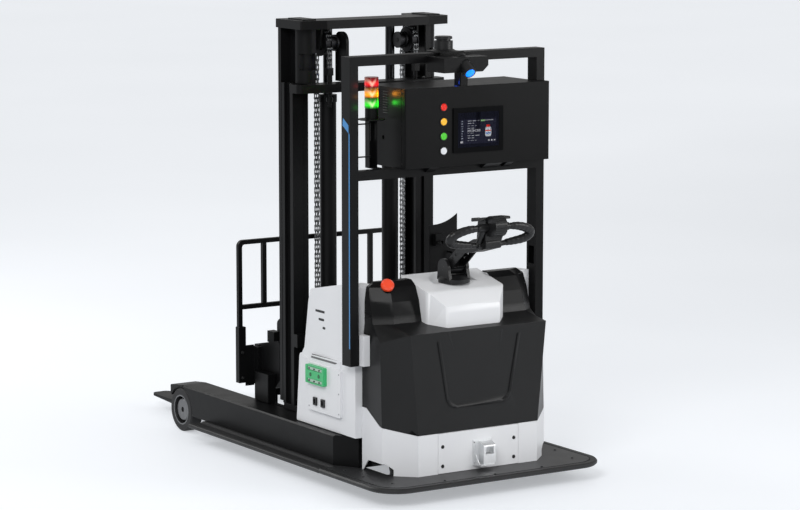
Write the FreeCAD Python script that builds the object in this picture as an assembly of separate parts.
import FreeCAD, Part
import math
import os
from FreeCAD import Rotation, Vector

# Driverless reach stacker: a walkie-type fork truck with a reaching two-stage mast.
#
# Everything is in millimetres. +X is to the right seen from behind, +Y runs forward
# towards the fork tips, +Z is up and the floor is Z = 0. While the pieces are drawn,
# Y = 0 is the rear face of the sensor gantry. On export every piece is shifted so that
# the origin is the bottom centre of the whole truck.

# ---------------------------------------------------------------- driving dimensions
CLEAR = 0.5                 # gap between pieces that move past each other
FIT = 0.05                  # radial clearance of a shaft in its bore

# floor plate and bumpers
PLATE_TOP = 105.0
PLATE_THICKNESS = 12.0
PLATE_REAR = -437.0
PLATE_FRONT = 170.0
PLATE_HALF_WIDTH = 650.0
BUMPER_DEPTH = 43.0
BUMPER_BOTTOM = 79.0
BUMPER_EDGE = 8.0
PLATE_CORNER = 120.0
RAIL_FRONT = 1557.0
RAIL_UNDER_LEG = 22.0

# straddle legs
LEG_OUTER = 582.0
LEG_WIDTH = 155.0
LEG_BOTTOM = PLATE_TOP
LEG_HEIGHT = 159.0
LEG_REAR = 204.0
LEG_MITRE = 130.0
LEG_SLOPE_START = 1831.0
LEG_NOSE = 1961.0
LEG_NOSE_TOP = 250.0
LEG_NOSE_BOTTOM = 206.0
LEG_EDGE = 9.0
CHANNEL_DEPTH = 70.0
CHANNEL_HEIGHT = 99.0
CHANNEL_START = 655.0
CHANNEL_END = 1692.0

# load wheels
WHEEL_RADIUS = 122.0
WHEEL_WIDTH = 74.0
WHEEL_Y = 1839.0
WHEEL_WELL_GAP = 9.0
TYRE_WALL = 38.0
TYRE_BEVEL = 7.0
HUB_DISC = 63.0
AXLE_RADIUS = 15.0

# body shell
BODY_HALF_WIDTH = 505.0
BODY_REAR = -280.0
FACET_SIDE = -150.0
FACET_INSET = 136.0
FACET_REAR_X = BODY_HALF_WIDTH - FACET_INSET
SKIRT_WALL = 5.0
SKIRT_TOP = 316.0
SKIRT_STEP_TOP = 431.0
BULKHEAD_Y = 42.0
SCANNER_INSET = 81.0
SCANNER_X = BODY_HALF_WIDTH - SCANNER_INSET
SCANNER_Y = -164.0
COVER_WALL = 7.0
COVER_FRONT = 40.0
SHOULDER_REAR_Z = 840.0
SHOULDER_SIDE_Z = 789.0
SHOULDER_SIDE_Y = -131.0
SHOULDER_INSET = 85.0
SHOULDER_CORNER_X = BODY_HALF_WIDTH - SHOULDER_INSET
WAIST_Z = 868.0
COVER_TOP = 1078.0

# tiller housing
HOUSING_HALF_WIDTH = 238.0
HOUSING_FOOT_X = 155.0
HOUSING_FACET_Y = -153.0
HOUSING_TAPER = 2.0
HOUSING_FRONT = 89.0
HOUSING_GAP = 1.5
TILLER_RECESS = 130.0
HOUSING_REAR = -232.0
HOUSING_BOTTOM = 839.0
HOUSING_TOP_REAR = 1028.0
HOUSING_TOP_FRONT = 1086.0
HOUSING_WALL = 6.0
STEER_Y = -50.0
COLUMN_RADIUS = 26.0
TILLER_SEAT_Z = 1049.0

# side cabinets
CABINET_STEP = 40.0
CABINET_WIDTH = 115.0
CABINET_OUTER = BODY_HALF_WIDTH + CABINET_STEP
CABINET_INNER = CABINET_OUTER - CABINET_WIDTH
CABINET_FRONT = 630.0
CABINET_BOTTOM = 268.0
CABINET_PANEL = 14.0
BATTERY_TOP = 860.0
BATTERY_LID = 18.0
BATTERY_GRIP = 14.0

# gantry
GANTRY_STEP = 55.0
GANTRY_HALF_WIDTH = CABINET_OUTER + GANTRY_STEP
GANTRY_TUBE = 50.0
GANTRY_DEPTH = 81.0
GANTRY_TOP = 2233.0
GANTRY_BOTTOM = 653.0
TUBE_WALL = 4.0

# control box
BOX_LEFT = -313.0
BOX_RIGHT = 584.0
BOX_REAR = -69.0
BOX_FRONT = 290.0
BOX_BOTTOM = 1654.0
BOX_TOP = 2064.0
BUTTON_X = -80.0
BUTTON_TOP_Z = 1961.0
BUTTON_PITCH = 75.0
BUTTON_RADIUS = 18.5
BUTTON_STANDOFF = 7.0
BUTTON_TRAVEL = 3.0
HMI_LEFT = -22.0
HMI_RIGHT = 286.0
HMI_BOTTOM = 1720.0
HMI_TOP = 1952.0

# mast
MAST_HALF_WIDTH = 446.0
UPRIGHT_WIDTH = 60.0
UPRIGHT_REAR = 822.0
UPRIGHT_DEPTH = 115.0
FLANGE = 28.0
WEB = 22.0
MAST_FOOT = 268.0
BASE_PLATE = 32.0
OUTER_TOP = 2030.0
TIE_Z = 620.0
YOKE_HEIGHT = 45.0
YOKE_OVERHANG = 19.0
YOKE_HALF_WIDTH = MAST_HALF_WIDTH + YOKE_OVERHANG
YOKE_REAR = 700.0
INNER_GAP = 3.0
INNER_WIDTH = 41.0
INNER_FRONT = 970.0
INNER_BOTTOM = 310.0
HEAD_HEIGHT = 293.0
TOP_PLATE_BOTTOM = OUTER_TOP + HEAD_HEIGHT
TOP_PLATE_THICKNESS = 46.0
TOP_PLATE_REAR = 675.0
LIFT_TRAVEL = 1300.0
SHEAVE_X = 272.0
SHEAVE_Y = 798.0
SHEAVE_DROP = 83.0
SHEAVE_Z = TOP_PLATE_BOTTOM - SHEAVE_DROP
SHEAVE_RADIUS = 61.0
SHEAVE_PIN = 13.0
HOSE_DRUM_X = 195.0
HOSE_DRUM_WIDTH = 46.0
HOSE_GUARD_X = -150.0
HOSE_GUARD_WIDTH = 18.0
HOSE_DRUM_RADIUS = 44.0
CHAIN_THICKNESS = 11.0
CHAIN_WIDTH = 28.0
ANCHOR_RISE = 84.0
CHAIN_ANCHOR_Z = OUTER_TOP + ANCHOR_RISE
CYLINDER_X = 197.0
CYLINDER_Y = 872.0
CYLINDER_RADIUS = 45.0
CYLINDER_DROP = 70.0
CYLINDER_TOP = OUTER_TOP - CYLINDER_DROP
ROD_RADIUS = 25.0

# fork carriage, backrest and forks
CARRIAGE_BOTTOM = 345.0
CARRIAGE_TOP = 820.0
CHAIN_LUG_Z = CARRIAGE_TOP - 20.0
CARRIAGE_FRONT = 1180.0
TILT_Y = 1204.0
TILT_Z = 385.0
TILT_PIN = 15.0
EAR = 24.0
FORK_FACE = 1323.0
FORK_LENGTH = 1220.0
FORK_WIDTH = 120.0
FORK_INSET = 46.0
FORK_OUTER = MAST_HALF_WIDTH - FORK_INSET
FORK_TOP = 88.0
FORK_HEEL = 42.0
FORK_TIP = 11.0
FORK_SHANK_TOP = 560.0
BACKREST_OVERHANG = 115.0
BACKREST_HALF_WIDTH = FORK_OUTER + BACKREST_OVERHANG
BACKREST_TOP = 1142.0
BACKREST_BOTTOM = 353.0
BACKREST_BAR_INSET = 55.0
BACKREST_BAR_X = FORK_OUTER - BACKREST_BAR_INSET

# drive and casters
DRIVE_RADIUS = 115.0
TURNTABLE_RADIUS = 120.0
MOTOR_RADIUS = 88.0
WELL_GAP = 28.0
DRIVE_WIDTH = 76.0
DRIVE_SHAFT = 20.0
DECK_Z = 300.0
DECK_THICKNESS = 14.0
DECK_REAR = -205.0
NECK_RADIUS = 100.0
CASTER_X = 345.0
CASTER_Y = -20.0
CASTER_RADIUS = 62.0
CASTER_WIDTH = 38.0
CASTER_TRAIL = 34.0
CASTER_AXLE = 7.0
CASTER_PIN = 10.0

FORK_TIP_Y = FORK_FACE + FORK_LENGTH
TRUCK_REAR = PLATE_REAR - BUMPER_DEPTH
ORIGIN_Y = (TRUCK_REAR + FORK_TIP_Y) / 2.0
LEG_INNER = LEG_OUTER - LEG_WIDTH
LEG_TOP = LEG_BOTTOM + LEG_HEIGHT
UPRIGHT_INNER = MAST_HALF_WIDTH - UPRIGHT_WIDTH
UPRIGHT_FRONT = UPRIGHT_REAR + UPRIGHT_DEPTH
INNER_OUTSIDE = UPRIGHT_INNER - INNER_GAP
INNER_INSIDE = INNER_OUTSIDE - INNER_WIDTH

X_AXIS = Vector(1, 0, 0)
Y_AXIS = Vector(0, 1, 0)
Z_AXIS = Vector(0, 0, 1)


# ---------------------------------------------------------------- shape helpers
def box(x0, x1, y0, y1, z0, z1):
    """Block between two corners."""
    return Part.makeBox(x1 - x0, y1 - y0, z1 - z0, Vector(x0, y0, z0))


def rod(start, direction, radius, length):
    """Round bar from a point along a direction."""
    return Part.makeCylinder(radius, length, Vector(*start), Vector(direction))


def ring(start, direction, outer, inner, length):
    """Tube from a point along a direction."""
    return rod(start, direction, outer, length).cut(rod(start, direction, inner, length))


def rounded_wire(corners, radius):
    """Closed outline whose corners are arcs; radius is one number or one for each corner."""
    points = [Vector(*corner) for corner in corners]
    count = len(points)
    radii = radius if isinstance(radius, (list, tuple)) else [radius] * count
    edges = []
    last_end = None
    first_start = None
    for index, point in enumerate(points):
        before = (points[index - 1] - point).normalize()
        after = (points[(index + 1) % count] - point).normalize()
        half = before.getAngle(after) / 2.0
        if radii[index] > 0:
            reach = radii[index] / math.tan(half)
            start = point + before * reach
            end = point + after * reach
            centre = point + (before + after).normalize() * (radii[index] / math.sin(half))
            middle = centre + (point - centre).normalize() * radii[index]
        else:
            start = end = point
        if last_end is not None and last_end.distanceToPoint(start) > 1e-6:
            edges.append(Part.LineSegment(last_end, start).toShape())
        if radii[index] > 0:
            edges.append(Part.Arc(start, middle, end).toShape())
        if first_start is None:
            first_start = start
        last_end = end
    if last_end.distanceToPoint(first_start) > 1e-6:
        edges.append(Part.LineSegment(last_end, first_start).toShape())
    return Part.Wire(edges)


def plan_prism(corners, z0, z1, radius=0):
    """Outline given as (x, y), extruded upwards."""
    wire = rounded_wire([(x, y, z0) for x, y in corners], radius)
    return Part.Face(wire).extrude(Vector(0, 0, z1 - z0))


def side_prism(corners, x0, x1, radius=0):
    """Outline given as (y, z), extruded along X."""
    wire = rounded_wire([(x0, y, z) for y, z in corners], radius)
    return Part.Face(wire).extrude(Vector(x1 - x0, 0, 0))


def rear_prism(corners, y0, y1, radius=0):
    """Outline given as (x, z), extruded along Y."""
    wire = rounded_wire([(x, y0, z) for x, z in corners], radius)
    return Part.Face(wire).extrude(Vector(0, y1 - y0, 0))


def mirrored(shape):
    """The same shape on the other side of the truck."""
    return shape.mirror(Vector(0, 0, 0), X_AXIS)


def fuse(*shapes):
    """One solid from touching or overlapping shapes."""
    whole = shapes[0]
    if len(shapes) > 1:
        whole = whole.multiFuse(list(shapes[1:]))
    return whole.removeSplitter()


def both_sides(*shapes):
    """Separate solids on the right and on the left."""
    right = fuse(*shapes)
    return Part.makeCompound([right, mirrored(right)])


def tilted(shape, pivot, axis, degrees):
    """A copy of the shape turned about an axis through the pivot."""
    turned = shape.copy()
    turned.rotate(Vector(*pivot), Vector(axis), degrees)
    return turned


def bored_wheel(start, radius, width, bore, bevel):
    """Ring about an X axis with bevelled outer shoulders, turned from its half section."""
    x, y, z = start
    section = [
        Vector(x, y, z + bore), Vector(x, y, z + radius - bevel), Vector(x + bevel, y, z + radius),
        Vector(x + width - bevel, y, z + radius), Vector(x + width, y, z + radius - bevel),
        Vector(x + width, y, z + bore),
    ]
    face = Part.Face(Part.makePolygon(section + section[:1]))
    return face.revolve(Vector(x, y, z), X_AXIS, 360)


def mirrored_outline(half):
    """Full plan outline from its right half, listed from front to rear."""
    return half + [(-x, y) for x, y in reversed(half)]


# ---------------------------------------------------------------- floor plate
def plate_outline(edge):
    """Plan of the floor plate, grown by edge on its free sides."""
    half = [
        (PLATE_HALF_WIDTH + edge, PLATE_FRONT),
        (PLATE_HALF_WIDTH + edge, PLATE_REAR - edge),
    ]
    return mirrored_outline(half), [0, PLATE_CORNER + edge, PLATE_CORNER + edge, 0]


def underbody_plate():
    """Floor plate with wells for the drive wheel and the casters, and two lashing slots."""
    outline, radii = plate_outline(0)
    bottom = PLATE_TOP - PLATE_THICKNESS
    plate = plan_prism(outline, bottom, PLATE_TOP, radii)
    wells = [square_well(0, STEER_Y, TURNTABLE_RADIUS + WELL_GAP, bottom)]
    for side in (-1, 1):
        wells.append(square_well(side * CASTER_X, CASTER_Y, caster_sweep() + WELL_GAP, bottom))
    return plate.cut(Part.makeCompound(wells))


def square_well(x, y, half, bottom):
    """Square opening with rounded corners through the floor plate."""
    corners = [(x - half, y - half), (x + half, y - half), (x + half, y + half),
               (x - half, y + half)]
    return plan_prism(corners, bottom - 1, PLATE_TOP + 1, 12)


def caster_sweep():
    """Radius that a caster wheel sweeps round its swivel."""
    return math.hypot(CASTER_TRAIL + CASTER_RADIUS, CASTER_WIDTH / 2.0)


def caster_top():
    """Height of the top plate of the casters."""
    return 2 * CASTER_RADIUS + 46 - CLEAR


def rubber_bumpers():
    """Rim round the floor plate, and a rail along each leg."""
    outer, outer_radii = plate_outline(BUMPER_DEPTH)
    inner, inner_radii = plate_outline(0)
    rim = plan_prism(outer, BUMPER_BOTTOM, PLATE_TOP, outer_radii)
    rim = rim.cut(plan_prism(inner, BUMPER_BOTTOM, PLATE_TOP, inner_radii))
    nose = [edge for edge in rim.Edges if is_outer_rim(edge)]
    rim = rim.makeChamfer(BUMPER_EDGE, nose)
    outside = PLATE_HALF_WIDTH + BUMPER_DEPTH
    inside = LEG_OUTER - RAIL_UNDER_LEG
    crown = PLATE_TOP - 7
    section = [
        (inside, PLATE_TOP), (LEG_OUTER + 14, PLATE_TOP), (LEG_OUTER + 34, crown),
        (outside - 32, crown), (outside - 22, PLATE_TOP - 2), (outside, PLATE_TOP - 4),
        (outside, BUMPER_BOTTOM), (inside, BUMPER_BOTTOM),
    ]
    rail = rear_prism(section, PLATE_FRONT + 3, RAIL_FRONT, [0, 0, 0, 0, 6, 10, 8, 0])
    return Part.makeCompound([rim, rail, mirrored(rail)])


def is_outer_rim(edge):
    """True on the top and bottom outer edges of the rim."""
    low = edge.BoundBox
    flat = abs(low.ZMax - low.ZMin) < 0.01
    reach = PLATE_HALF_WIDTH + BUMPER_DEPTH
    middle = edge.valueAt((edge.FirstParameter + edge.LastParameter) / 2.0)
    corner = (PLATE_CORNER + BUMPER_DEPTH) * 0.2929
    out_x = abs(middle.x) > reach - corner - 1
    out_y = middle.y < TRUCK_REAR + corner + 1
    return flat and (out_x or out_y) and abs(middle.y - PLATE_FRONT) > 0.1


# ---------------------------------------------------------------- legs and load wheels
def leg():
    """Right straddle leg: open channel inside, fender nose over the load wheel."""
    profile = [
        (LEG_REAR - LEG_MITRE, LEG_BOTTOM), (LEG_REAR - LEG_MITRE, LEG_TOP),
        (LEG_SLOPE_START, LEG_TOP), (LEG_NOSE, LEG_NOSE_TOP),
        (LEG_NOSE, LEG_NOSE_BOTTOM), (WHEEL_Y + 60, LEG_BOTTOM + 10), (WHEEL_Y, LEG_BOTTOM),
    ]
    body = side_prism(profile, LEG_INNER, LEG_OUTER, [0, 0, 60, 12, 8, 10, 10])
    rear = [
        (LEG_OUTER + 1, LEG_REAR), (LEG_OUTER + 1, LEG_REAR - LEG_MITRE - 1),
        (BODY_HALF_WIDTH, LEG_REAR - LEG_MITRE - 1),
    ]
    body = body.cut(plan_prism(rear, LEG_BOTTOM, LEG_TOP))
    bevel = [
        (LEG_OUTER + 1, LEG_TOP - LEG_EDGE), (LEG_OUTER + 1, LEG_TOP + 1),
        (LEG_OUTER - LEG_EDGE, LEG_TOP + 1),
    ]
    body = body.cut(rear_prism(bevel, 0, LEG_SLOPE_START - 10))
    well = WHEEL_RADIUS + WHEEL_WELL_GAP
    inside = LEG_OUTER - WHEEL_WIDTH - 7
    body = body.cut(rod((inside, WHEEL_Y, WHEEL_RADIUS), X_AXIS, well, LEG_WIDTH))
    mid = (LEG_BOTTOM + LEG_TOP) / 2.0
    channel = side_prism(
        [(CHANNEL_START, mid - CHANNEL_HEIGHT / 2), (CHANNEL_START, mid + CHANNEL_HEIGHT / 2),
         (CHANNEL_END, mid + CHANNEL_HEIGHT / 2), (CHANNEL_END, mid - CHANNEL_HEIGHT / 2)],
        LEG_INNER - 1, LEG_INNER + CHANNEL_DEPTH)
    body = body.cut(channel)
    axle = rod((LEG_INNER + 20, WHEEL_Y, WHEEL_RADIUS), X_AXIS, AXLE_RADIUS,
               LEG_OUTER - LEG_INNER - 34)
    collar = rod((inside - 2, WHEEL_Y, WHEEL_RADIUS), X_AXIS, AXLE_RADIUS + 12, 6)
    return fuse(body, axle, collar)


def legs():
    """Both straddle legs."""
    right = leg()
    return Part.makeCompound([right, mirrored(right)])


def load_tyre():
    """Solid tyre with bevelled shoulders, right side."""
    inside = LEG_OUTER - WHEEL_WIDTH
    return bored_wheel((inside, WHEEL_Y, WHEEL_RADIUS), WHEEL_RADIUS, WHEEL_WIDTH,
                       WHEEL_RADIUS - TYRE_WALL, TYRE_BEVEL)


def load_hub():
    """Wheel hub with a deep dish, a raised disc and five round windows, right side."""
    inside = LEG_OUTER - WHEEL_WIDTH
    outer = WHEEL_RADIUS - TYRE_WALL
    centre = (inside, WHEEL_Y, WHEEL_RADIUS)
    web_x = inside + 16
    rim = ring(centre, X_AXIS, outer, outer - 7, WHEEL_WIDTH)
    web = rod((web_x, WHEEL_Y, WHEEL_RADIUS), X_AXIS, outer - 5, 14)
    disc = bored_wheel((web_x, WHEEL_Y, WHEEL_RADIUS), HUB_DISC, 48, AXLE_RADIUS + FIT, 5)
    boss = rod((inside, WHEEL_Y, WHEEL_RADIUS), X_AXIS, 32, 20)
    hub = fuse(rim, web, disc, boss)
    middle = (HUB_DISC + outer) / 2.0 - 2
    window = rod((inside - 1, WHEEL_Y, WHEEL_RADIUS + middle), X_AXIS, 6, WHEEL_WIDTH + 2)
    windows = [tilted(window, centre, X_AXIS, 36 + 72 * step) for step in range(5)]
    bore = rod((inside - 1, WHEEL_Y, WHEEL_RADIUS), X_AXIS, AXLE_RADIUS + FIT, WHEEL_WIDTH + 2)
    return hub.cut(Part.makeCompound(windows + [bore]))


# ---------------------------------------------------------------- body shell
def body_plan(inset, front):
    """Plan outline of the body with its two rear facets, listed from front to rear."""
    shift = inset * 0.4142
    return mirrored_outline([
        (BODY_HALF_WIDTH - inset, front),
        (BODY_HALF_WIDTH - inset, FACET_SIDE + shift),
        (FACET_REAR_X - shift, BODY_REAR + inset),
    ])


def lower_skirt():
    """White lower shell; its top edge rises over the facets to meet the cover."""
    front = BULKHEAD_Y - CLEAR
    shell = plan_prism(body_plan(0, front), PLATE_TOP, SKIRT_STEP_TOP)
    shell = shell.cut(plan_prism(body_plan(SKIRT_WALL, front + 1), PLATE_TOP - 1,
                                 SKIRT_STEP_TOP + 1))
    shell = shell.cut(cover_edge_tool(0))
    panel = box(-RearPanel.HALF_WIDTH, RearPanel.HALF_WIDTH, BODY_REAR - 1,
                BODY_REAR + SKIRT_WALL + 1, PLATE_TOP - 1, SKIRT_TOP)
    shell = shell.cut(panel)
    low = PLATE_TOP - 1
    window = side_prism([(FACET_SIDE - 41, low), (FACET_SIDE - 41, low + 34),
                         (FACET_SIDE - 14, low + 59), (-18, low + 59), (31, low)],
                        BODY_HALF_WIDTH - 80, BODY_HALF_WIDTH + 1, [0, 10, 14, 14, 0])
    return shell.cut(window).cut(mirrored(window))


def cover_edge_tool(gap):
    """Space above the seam between the cover and the skirt, lowered by gap."""
    side_line = [
        (BODY_REAR - 20, SKIRT_TOP - gap), (BODY_REAR, SKIRT_TOP - gap),
        (FACET_SIDE, SKIRT_TOP + 34 - gap), (FACET_SIDE + 25, SKIRT_TOP + 40 - gap),
        (3 + gap, SKIRT_STEP_TOP - gap), (COVER_FRONT + 400, SKIRT_STEP_TOP - gap),
        (COVER_FRONT + 400, COVER_TOP + 200), (BODY_REAR - 20, COVER_TOP + 200),
    ]
    return side_prism(side_line, -BODY_HALF_WIDTH - 60, BODY_HALF_WIDTH + 60)


class RearPanel:
    """Sizes of the removable rear panel, its bolts and the charging bracket."""
    HALF_WIDTH = 250.0
    BOLT_X = 221.0
    BOLT_LOW = 144.0
    BOLT_HIGH = 245.0
    BOLT_RADIUS = 6.0
    GAP = 1.5


def rear_panel():
    """Removable panel in the rear of the skirt, with four bolt holes."""
    gap = RearPanel.GAP
    half = RearPanel.HALF_WIDTH - gap
    plate = box(-half, half, BODY_REAR, BODY_REAR + SKIRT_WALL, PLATE_TOP + gap, SKIRT_TOP - gap)
    backing = box(-half, half, BODY_REAR + SKIRT_WALL, BODY_REAR + SKIRT_WALL + 8,
                  PLATE_TOP + gap, PLATE_TOP + gap + 12)
    holes = [rod((x, BODY_REAR - 1, z), Y_AXIS, RearPanel.BOLT_RADIUS, SKIRT_WALL + 2)
             for x in (-RearPanel.BOLT_X, RearPanel.BOLT_X)
             for z in (RearPanel.BOLT_LOW, RearPanel.BOLT_HIGH)]
    bracket_holes = [rod((x, BODY_REAR - 1, z), Y_AXIS, DockBracket.HOLE_RADIUS, SKIRT_WALL + 2)
                     for x in DockBracket.hole_xs() for z in DockBracket.hole_zs()]
    return fuse(plate, backing).cut(Part.makeCompound(holes + bracket_holes))


def panel_bolts():
    """Button-head bolts of the rear panel."""
    bolts = []
    for x in (-RearPanel.BOLT_X, RearPanel.BOLT_X):
        for z in (RearPanel.BOLT_LOW, RearPanel.BOLT_HIGH):
            head = Part.makeCone(6, 10, 5, Vector(x, BODY_REAR - 5, z), Y_AXIS)
            shank = rod((x, BODY_REAR, z), Y_AXIS, RearPanel.BOLT_RADIUS - FIT, SKIRT_WALL)
            bolts.append(fuse(head, shank).cut(rod((x, BODY_REAR - 6, z), Y_AXIS, 3, 4)))
    return Part.makeCompound(bolts)


class DockBracket:
    """Sizes of the cast bracket that holds the charging and towing socket."""
    X = 22.0
    HALF_WIDTH = 58.0
    BOTTOM = 127.0
    TOP = 260.0
    REACH = 50.0
    SHEET = 4.0
    HOLE_RADIUS = 3.5
    HOLE_INSET = 8.0
    MOUTH_X = 36.0
    MOUTH_HALF = 25.0
    MOUTH_LOW = 188.0
    MOUTH_TOP = 225.0

    @classmethod
    def hole_xs(cls):
        return (cls.X - cls.HALF_WIDTH + cls.HOLE_INSET, cls.X + cls.HALF_WIDTH - cls.HOLE_INSET)

    @classmethod
    def hole_zs(cls):
        return (cls.BOTTOM + cls.HOLE_INSET + 4, cls.TOP - cls.HOLE_INSET - 4)


def docking_bracket():
    """Cast bracket with a hooded socket for the charging plug and a flared foot."""
    d = DockBracket
    left = d.X - d.HALF_WIDTH
    right = d.X + d.HALF_WIDTH
    back = box(left, right, BODY_REAR - d.SHEET, BODY_REAR, d.BOTTOM, d.TOP)
    hood_left = d.MOUTH_X - d.MOUTH_HALF - 12
    hood_right = d.MOUTH_X + d.MOUTH_HALF + 12
    front = BODY_REAR - d.REACH
    hood = side_prism([(front, d.BOTTOM + 8), (front, d.MOUTH_TOP + 10),
                       (BODY_REAR - d.SHEET, d.TOP - 8), (BODY_REAR - d.SHEET, d.BOTTOM + 8)],
                      hood_left, hood_right, [4, 10, 0, 0])
    foot = plan_prism(
        [(left + 4, BODY_REAR - d.SHEET), (left + 20, front - 2),
         (right - 8, front - 2), (right - 2, BODY_REAR - d.SHEET)],
        d.BOTTOM, d.BOTTOM + 10, [0, 8, 8, 0])
    wing = side_prism([(BODY_REAR - d.SHEET, d.BOTTOM + 10), (front + 8, d.BOTTOM + 10),
                       (BODY_REAR - d.SHEET, d.MOUTH_LOW)], hood_left - 22, hood_left - 18)
    mouth = rear_prism(
        [(d.MOUTH_X - d.MOUTH_HALF, d.MOUTH_LOW), (d.MOUTH_X - d.MOUTH_HALF, d.MOUTH_TOP - 8),
         (d.MOUTH_X - d.MOUTH_HALF + 12, d.MOUTH_TOP), (d.MOUTH_X + d.MOUTH_HALF, d.MOUTH_TOP),
         (d.MOUTH_X + d.MOUTH_HALF, d.MOUTH_LOW)],
        front - 1, front + 38, 3)
    holes = [rod((x, BODY_REAR - d.SHEET - 1, z), Y_AXIS, d.HOLE_RADIUS, d.SHEET + 2)
             for x in d.hole_xs() for z in d.hole_zs()]
    return fuse(back, hood, foot, wing).cut(Part.makeCompound([mouth] + holes))


def shoulder_z(y):
    """Height of the shoulder line of the cover at a place along the truck."""
    slope = (SHOULDER_REAR_Z - SHOULDER_SIDE_Z) / (SHOULDER_SIDE_Y - (BODY_REAR - 1))
    return SHOULDER_REAR_Z - slope * (y - (BODY_REAR - 1))


def cover_section(side, side_y, corner, corner_y, front, height):
    """One closed outline of the cover; height is a number or a function of Y."""
    half = [(side, front), (side, side_y), (corner, corner_y)]
    outline = mirrored_outline(half)
    lift = height if callable(height) else (lambda y: height)
    points = [Vector(x, y, lift(y)) for x, y in outline]
    return Part.makePolygon(points + points[:1])


def cover_solid(inset):
    """Moulded rear cover: bulging lower part, shoulder, waist and two rounded cheeks."""
    front = COVER_FRONT + (1 if inset else 0)
    grow = inset * 0.4142
    side = BODY_HALF_WIDTH - inset
    sections = [
        cover_section(side, FACET_SIDE + grow, FACET_REAR_X - grow, BODY_REAR + inset, front,
                      SKIRT_TOP - 20),
        cover_section(side, SHOULDER_SIDE_Y + grow, SHOULDER_CORNER_X - grow,
                      BODY_REAR - 1 + inset, front, lambda y: shoulder_z(y) - inset),
        cover_section(side - 15, -38 + grow, 410 - grow, -110 + inset, front,
                      lambda y: WAIST_Z - inset - 0.05 * (y + 25)),
        cover_section(side - 15, -8 + grow, 400 - grow, -84 + inset, front,
                      lambda y: WAIST_Z + 112 - inset),
        cover_section(side - 25, 14 + grow, 392 - grow, -50 + inset, front,
                      lambda y: COVER_TOP - 26 - inset),
        cover_section(side - 62, 24 + grow, 372 - grow, -10 + inset, front,
                      lambda y: COVER_TOP - inset),
    ]
    return Part.makeLoft(sections, True, True)


def housing_solid(inset):
    """White tiller housing: rounded rear brow, sloping top and two bevelled rear corners."""
    low = HOUSING_BOTTOM - (40 if inset else 0)
    front = HOUSING_FRONT + inset
    profile = [
        (HOUSING_REAR + inset, low), (HOUSING_REAR - 6 + inset, HOUSING_BOTTOM + 106),
        (HOUSING_REAR + 72, HOUSING_TOP_REAR - inset), (front, HOUSING_TOP_FRONT - inset),
        (front, low),
    ]
    half = HOUSING_HALF_WIDTH - inset
    body = side_prism(profile, -half, half, [0, 60, 60, 0, 0])
    shift = inset * 0.4142
    plan = mirrored_outline([
        (half - HOUSING_TAPER, front), (half, HOUSING_FACET_Y + shift),
        (HOUSING_FOOT_X - shift, HOUSING_REAR - 7 + inset)])
    return body.common(plan_prism(plan, low - 1, HOUSING_TOP_FRONT + 1, [0, 30, 45, 45, 30, 0]))


def tiller_housing():
    """Thin shell of the tiller housing, open below and in front, with a round recess on top."""
    shell = housing_solid(0).cut(housing_solid(HOUSING_WALL))
    seat = rod((0, STEER_Y, TILLER_SEAT_Z), Z_AXIS, TILLER_RECESS, 120)
    boss = rod((0, STEER_Y, TILLER_SEAT_Z - HOUSING_WALL), Z_AXIS, TILLER_RECESS + HOUSING_WALL,
               HOUSING_WALL + 40)
    boss = boss.common(housing_solid(0))
    shell = fuse(shell, boss).cut(seat)
    return shell.cut(rod((0, STEER_Y, TILLER_SEAT_Z - 60), Z_AXIS, COLUMN_RADIUS + 12, 200))


def rear_cover():
    """Black moulded shell with a raised U rib, an emergency-stop seat and a bay for the housing."""
    shell = cover_solid(0).cut(cover_solid(COVER_WALL))
    shell = shell.common(cover_edge_tool(-2.0))
    bay = housing_solid(-HOUSING_GAP)
    half = HOUSING_HALF_WIDTH - HOUSING_TAPER + HOUSING_GAP
    gap = box(-half, half, HOUSING_FACET_Y, COVER_FRONT + 2, HOUSING_BOTTOM + 140, COVER_TOP + 20)
    shell = shell.cut(bay).cut(gap)
    shell = fuse(shell, u_rib())
    seat = EmergencyStop.axis()
    stop = Part.makeCylinder(EmergencyStop.STEM + 0.3, 120,
                             Vector(*EmergencyStop.POSITION) - seat * 60, seat)
    return shell.cut(stop)


def u_rib():
    """Raised U-shaped rib on the rear face of the cover."""
    band = 15.0
    lift = 7.0
    top = SHOULDER_REAR_Z - 48
    low = 440.0
    wide = 255.0
    narrow = 190.0
    outer = [(-wide, top), (-narrow, low), (narrow, low), (wide, top)]
    inner = [(-wide + band, top), (-narrow + band - 3, low + band), (narrow - band + 3, low + band),
             (wide - band, top)]
    rib = rear_prism(outer, BODY_REAR - lift, BODY_REAR + 2, [0, 60, 60, 0])
    return rib.cut(rear_prism(inner, BODY_REAR - lift - 1, BODY_REAR + 3, [0, 48, 48, 0]))


class EmergencyStop:
    """Place and sizes of the emergency-stop button."""
    POSITION = (-402.0, -30.0, 1048.0)
    RADIUS = 34.0
    STEM = 14.0
    TRAVEL = 6.0

    @staticmethod
    def axis():
        return Vector(-0.25, -0.72, 0.6).normalize()


def estop_button():
    """Mushroom head and stem of the emergency stop."""
    out = EmergencyStop.axis()
    base = Vector(*EmergencyStop.POSITION) + out * 22
    skirt = Part.makeCylinder(EmergencyStop.RADIUS, 15, base, out)
    crown = Part.makeCone(EmergencyStop.RADIUS, EmergencyStop.RADIUS - 9, 9, base + out * 15, out)
    stem = Part.makeCylinder(EmergencyStop.STEM, 50, base - out * 48, out)
    return fuse(skirt, crown, stem)


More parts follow.
